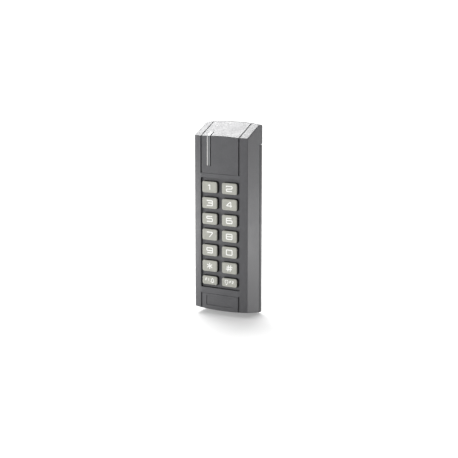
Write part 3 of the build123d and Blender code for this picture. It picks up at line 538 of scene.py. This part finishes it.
def edit_edges(piece, wanted):
    """Goes to edit mode with only the edges selected for which wanted(end, other_end) is true."""
    deselect_all()
    piece.select_set(True)
    bpy.context.view_layer.objects.active = piece
    bpy.ops.object.mode_set(mode="EDIT")
    bpy.ops.mesh.select_mode(type="EDGE")
    bpy.ops.mesh.select_all(action="DESELECT")
    mesh = bmesh.from_edit_mesh(piece.data)
    for edge in mesh.edges:
        edge.select_set(bool(wanted(edge.verts[0].co, edge.verts[1].co)))
    bmesh.update_edit_mesh(piece.data)
    return sum(edge.select for edge in mesh.edges)


def new_box(name, low, high):
    """A cube primitive at its size and place, with the size and place in its mesh."""
    deselect_all()
    low, high = Vector(low), Vector(high)
    bpy.ops.mesh.primitive_cube_add(size=1, location=(low + high) / 2)
    piece = bpy.context.object
    piece.name = name
    piece.scale = high - low
    bpy.ops.object.transform_apply(location=True, rotation=True, scale=True)
    return piece


def finish_piece(piece, material, body, slot, *replaced):
    """Smooth shading by angle, its material, its body and the CAD nodes that it stands for."""
    deselect_all()
    piece.select_set(True)
    bpy.context.view_layer.objects.active = piece
    bpy.ops.object.shade_smooth_by_angle(angle=radians(35))
    piece.data.materials.clear()
    piece.data.materials.append(material)
    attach(piece, body)
    if replaced:
        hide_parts(*replaced)
    return piece


def copy_piece(piece, name, shift):
    """A copy with its own mesh, moved by changing the mesh."""
    made = piece.copy()
    made.data = piece.data.copy()
    made.name = name
    made.data.name = name
    scene.collection.objects.link(made)
    made.data.transform(Matrix.Translation(shift))
    return made


# %% [markdown]
# ## Keys
# Each key is one silicone moulding: a cap with rounded corners and slightly tapered walls, a
# flange that holds it behind the panel, and a round post for its contact pill. All full-height
# keys are the same moulding, so one is modelled from a cube and copied, and the low keys of the
# last row are made by the same steps with less height.

# %% Model one key
KEY_GAP_TO_FLANGE = 4.5 * MM  # from the key's face back to the front of its flange
CORNER = 1.4 * MM
EDGE = 0.5 * MM
FLANGE_LIP = 0.85 * MM
FLANGE_THICKNESS = 0.9 * MM
POST_RADIUS = 2.7 * MM
DRAFT = 0.09 * MM  # the cap's back is this much wider on each side than its face
DISH_RIM = 0.9 * MM
DISH_DEPTH = 0.08 * MM


def model_key(node):
    """A key at the place and size of a CAD key."""
    low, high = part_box(node)
    middle = (low + high) / 2
    half_width = (high.x - low.x) / 2 - FLANGE_LIP
    half_height = (high.z - low.z) / 2 - FLANGE_LIP
    face, flange_front = low.y, low.y + KEY_GAP_TO_FLANGE
    key = new_box(
        "key_model",
        (middle.x - half_width, face, middle.z - half_height),
        (middle.x + half_width, flange_front, middle.z + half_height),
    )
    # round the four edges that run towards the wall
    edit_edges(key, lambda a, b: abs(a.y - b.y) > MM)
    bpy.ops.mesh.bevel(offset=CORNER, segments=6, affect="EDGES")
    # a mould lets go of a wall that leans, so the back of the cap is a little larger
    edit_faces(key, lambda centre, normal: normal.y > 0.9)
    back_middle = (middle.x, flange_front, middle.z)
    bpy.ops.transform.resize(
        value=(1 + DRAFT / half_width, 1, 1 + DRAFT / half_height), center_override=back_middle
    )
    # flange: a wider step behind the cap
    edit_faces(key, lambda centre, normal: normal.y > 0.9)
    bpy.ops.mesh.extrude_region_move(TRANSFORM_OT_translate={"value": (0, 0, 0)})
    bpy.ops.transform.resize(
        value=(1 + FLANGE_LIP / half_width, 1, 1 + FLANGE_LIP / half_height),
        center_override=back_middle,
    )
    bpy.ops.mesh.extrude_region_move(TRANSFORM_OT_translate={"value": (0, FLANGE_THICKNESS, 0)})
    # soft rounding round the key's face
    edit_faces(key, lambda centre, normal: normal.y < -0.9)
    bpy.ops.mesh.region_to_loop()
    bpy.ops.mesh.bevel(offset=EDGE, segments=4, affect="EDGES")
    # the face is dished by a tenth of a millimetre, for the fingertip
    edit_faces(key, lambda centre, normal: normal.y < -0.99 and centre.y < face + 0.01 * MM)
    bpy.ops.mesh.inset(thickness=DISH_RIM, depth=-DISH_DEPTH)
    bpy.ops.object.mode_set(mode="OBJECT")
    # the post, joined to the flange
    deselect_all()
    post_depth = high.y - flange_front
    bpy.ops.mesh.primitive_cylinder_add(
        vertices=32, radius=POST_RADIUS, depth=post_depth,
        location=(middle.x, high.y - post_depth / 2, middle.z), rotation=(pi / 2, 0, 0),
    )
    post = bpy.context.object
    bpy.ops.object.transform_apply(location=True, rotation=True, scale=True)
    union = key.modifiers.new("join_post", "BOOLEAN")
    union.operation, union.solver, union.object = "UNION", "EXACT", post
    deselect_all()
    key.select_set(True)
    bpy.context.view_layer.objects.active = key
    bpy.ops.object.modifier_apply(modifier="join_post")
    bpy.data.objects.remove(post)
    return key


full_key, low_key = model_key("key_1"), model_key("key_f1")
print("faces of one key:", len(full_key.data.polygons), len(low_key.data.polygons))

# %% Copy the keys to their places
KEY_NAMES = [name for name in sorted(nodes) if name.startswith("key_") and name != "key_contacts"]


def middle_of(node):
    low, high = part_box(node)
    return (low + high) / 2


for name in KEY_NAMES:
    is_low = name in ("key_f1", "key_f2")
    source, source_node = (low_key, "key_f1") if is_low else (full_key, "key_1")
    shift = middle_of(name) - middle_of(source_node)
    cap = copy_piece(source, name.replace("key_", "keycap_"), shift)
    finish_piece(cap, key_rubber, name.replace("key_", "button_"), "key_rubber", name)
for source in (full_key, low_key):
    bpy.data.objects.remove(source)
print(len(KEY_NAMES), "keys placed")

# %% [markdown]
# ## Figures on the keys
# The figures are wide and square with rounded corners. Each is a few strokes, so it is drawn as
# a flat curve with a round pen, made a mesh, and pressed flat onto the key's face. Only digits,
# a star, a hash, plain function names, a bell and a lamp appear.

# %% Strokes of the figures
# Strokes are drawn in a box from -1 to 1, x to the right and z up.
BOX_RING = [(0, 1), (1, 1), (1, -1), (-1, -1), (-1, 1), (0, 1)]


def arc(x, z, radius_x, radius_z, start, end, steps=10):
    """Points on part of an ellipse, with angles in degrees from the right, turning left."""
    turns = [radians(start + (end - start) * i / steps) for i in range(steps + 1)]
    return [(x + radius_x * cos(t), z + radius_z * sin(t)) for t in turns]


def moved(strokes, x, z, width, height):
    """Strokes made smaller or larger and moved."""
    return [[(x + width * px, z + height * pz) for px, pz in stroke] for stroke in strokes]


LETTER_F = [[(1, 1), (-0.7, 1), (-1, -1)], [(-0.85, 0.05), (0.7, 0.05)]]
SMALL_ONE = [[(-0.2, 0.6), (0.4, 1), (0.1, -1)]]
SMALL_TWO = [
    [(-0.8, 0.7), (-0.6, 1), (0.9, 1), (0.8, 0.1), (-0.9, -0.2), (-1, -1), (0.8, -1)]
]
BELL = [
    arc(0, 0.1, 0.62, 0.8, 0, 180)
    + [(-0.68, -0.35), (-1, -0.7), (1, -0.7), (0.68, -0.35), (0.62, 0.1)],
    arc(0, -0.8, 0.25, 0.22, 200, 340, 4),
    [(0, 0.9), (0, 1.15)],
]
LAMP = [
    [(-0.35, -0.45)] + arc(0, 0.3, 0.75, 0.75, 235, -55, 14) + [(0.35, -0.45)],
    [(-0.35, -0.75), (0.35, -0.75)],
    [(-0.2, -1.05), (0.2, -1.05)],
]
STROKES = {
    "1": [[(-0.5, 0.62), (0.1, 1), (0.1, -1)]],
    "2": [[(-1, 0.6), (-1, 1), (1, 1), (1, 0.05), (-1, -0.15), (-1, -1), (1, -1)]],
    "3": [[(-1, 1), (1, 1), (1, -1), (-1, -1)], [(-0.5, 0.03), (1, 0.03)]],
    "4": [[(0.55, -1), (0.55, 1), (0.2, 1), (-1, -0.4), (1, -0.4)]],
    "5": [[(1, 1), (-1, 1), (-1, 0.15), (1, 0.15), (1, -1), (-1, -1)]],
    "6": [[(0.8, 1), (-1, 1), (-1, -1), (1, -1), (1, 0.12), (-1, 0.12)]],
    "7": [[(-1, 1), (1, 1), (1, 0.6), (-0.1, -1)]],
    "8": [BOX_RING, [(-1, 0.03), (1, 0.03)]],
    "9": [[(-0.8, -1), (1, -1), (1, 1), (-1, 1), (-1, -0.08), (1, -0.08)]],
    "0": [BOX_RING],
    "star": [
        [(1.05 * cos(a), 1.25 * sin(a)), (-1.05 * cos(a), -1.25 * sin(a))]
        for a in (pi / 2, pi / 6, -pi / 6)
    ],
    "hash": [
        [(-0.5, -1.25), (-0.25, 1.25)],
        [(0.3, -1.25), (0.55, 1.25)],
        [(-1, 0.4), (1.15, 0.4)],
        [(-1.15, -0.4), (1, -0.4)],
    ],
    "f1": moved(LETTER_F, -1.2, 0.25, 0.32, 0.5)
    + moved(SMALL_ONE, -0.45, 0.25, 0.3, 0.5)
    + moved(BELL, 0.95, -0.05, 0.62, 0.85),
    "f2": moved(LAMP, -0.95, 0.0, 0.72, 0.95)
    + moved(LETTER_F, 0.4, 0.25, 0.3, 0.45)
    + moved(SMALL_TWO, 1.25, 0.25, 0.3, 0.45),
}
FIGURE_HALF_WIDTH = 2.6 * MM
FIGURE_HALF_HEIGHT = 2.0 * MM
STROKE = 0.86 * MM
SMALL_STROKE = 0.55 * MM
CUT = 0.5 * MM  # how far a stroke's corner is cut before the pen rounds it
PRINT_HEIGHT = 0.03 * MM


def soften(points):
    """Replaces each sharp corner of a stroke with three points that turn it."""
    made = [points[0]]
    for before, corner, after in zip(points, points[1:], points[2:]):
        to_before, to_after = before - corner, after - corner
        cut = min(CUT, 0.45 * to_before.length, 0.45 * to_after.length)
        start, end = corner + to_before.normalized() * cut, corner + to_after.normalized() * cut
        made += [start, (start + end) / 4 + corner / 2, end]
    return made + [points[-1]]


def draw_figure(name, strokes, middle, stroke_width, half_width, half_height):
    """The strokes as a thin white print round the given point of a key's face."""
    deselect_all()
    bpy.ops.curve.primitive_bezier_curve_add()
    drawn = bpy.context.object
    drawn.name = name
    line = drawn.data
    line.splines.clear()
    line.dimensions = "3D"
    line.bevel_depth = stroke_width / 2
    line.bevel_resolution = 2
    line.use_fill_caps = True
    for stroke in strokes:
        points = soften([Vector((x * half_width, 0, z * half_height)) for x, z in stroke])
        spline = line.splines.new("POLY")
        spline.points.add(len(points) - 1)
        for place, point in zip(spline.points, points):
            place.co = (*point, 1)
    deselect_all()
    drawn.select_set(True)
    bpy.context.view_layer.objects.active = drawn
    bpy.ops.object.convert(target="MESH")
    flat = Matrix.Diagonal((1, 2 * PRINT_HEIGHT / stroke_width, 1, 1))
    drawn.data.transform(Matrix.Translation(middle) @ flat)
    return drawn


for name in KEY_NAMES:
    what = name.replace("key_", "")
    face_middle = middle_of(name)
    face_middle.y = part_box(name)[0].y + DISH_DEPTH
    small = what in ("f1", "f2")
    figure = draw_figure(
        "figure_" + what, STROKES[what], face_middle,
        SMALL_STROKE if small else STROKE, FIGURE_HALF_WIDTH, FIGURE_HALF_HEIGHT,
    )
    finish_piece(figure, legend_white, "button_" + what, "key_rubber")
print("figures:", ", ".join(STROKES))


# %% [markdown]
# ## Light bar
# The bar is one clear moulding that bends over the front edge onto the sloping top. Its long
# edges are chamfered, and along them its colour carries two painted highlights as pale lines, a
# strong one on the left and a fainter one on the right.

# %% Model the light bar
BAR_CHAMFER = 0.28 * MM
MERGE = 0.002 * MM
SAME_PLACE = 0.01 * MM
FRONT_BAND = 0.2 * MM
LONG = 5 * MM
deselect_all()
bar = copy_piece(nodes["light_bar"], "light_lens", (0, 0, 0))
bar.parent = None
for key in list(bar.keys()):
    del bar[key]
edit_faces(bar, lambda centre, normal: True)
bpy.ops.mesh.remove_doubles(threshold=MERGE)
bpy.ops.mesh.dissolve_limited(angle_limit=radians(2))
long_edges = edit_edges(
    bar,
    lambda a, b: abs(a.x - b.x) < SAME_PLACE
    and min(abs(a.x - bar_low.x), abs(a.x - bar_high.x)) < SAME_PLACE
    and (a.y + b.y) / 2 < bar_low.y + FRONT_BAND
    and abs(a.z - b.z) > LONG,
)
bpy.ops.mesh.bevel(offset=BAR_CHAMFER, segments=2, affect="EDGES")
bpy.ops.object.mode_set(mode="OBJECT")
finish_piece(bar, bar_clear, "root", "clear_bar", "light_bar")
print("long edges chamfered:", long_edges)
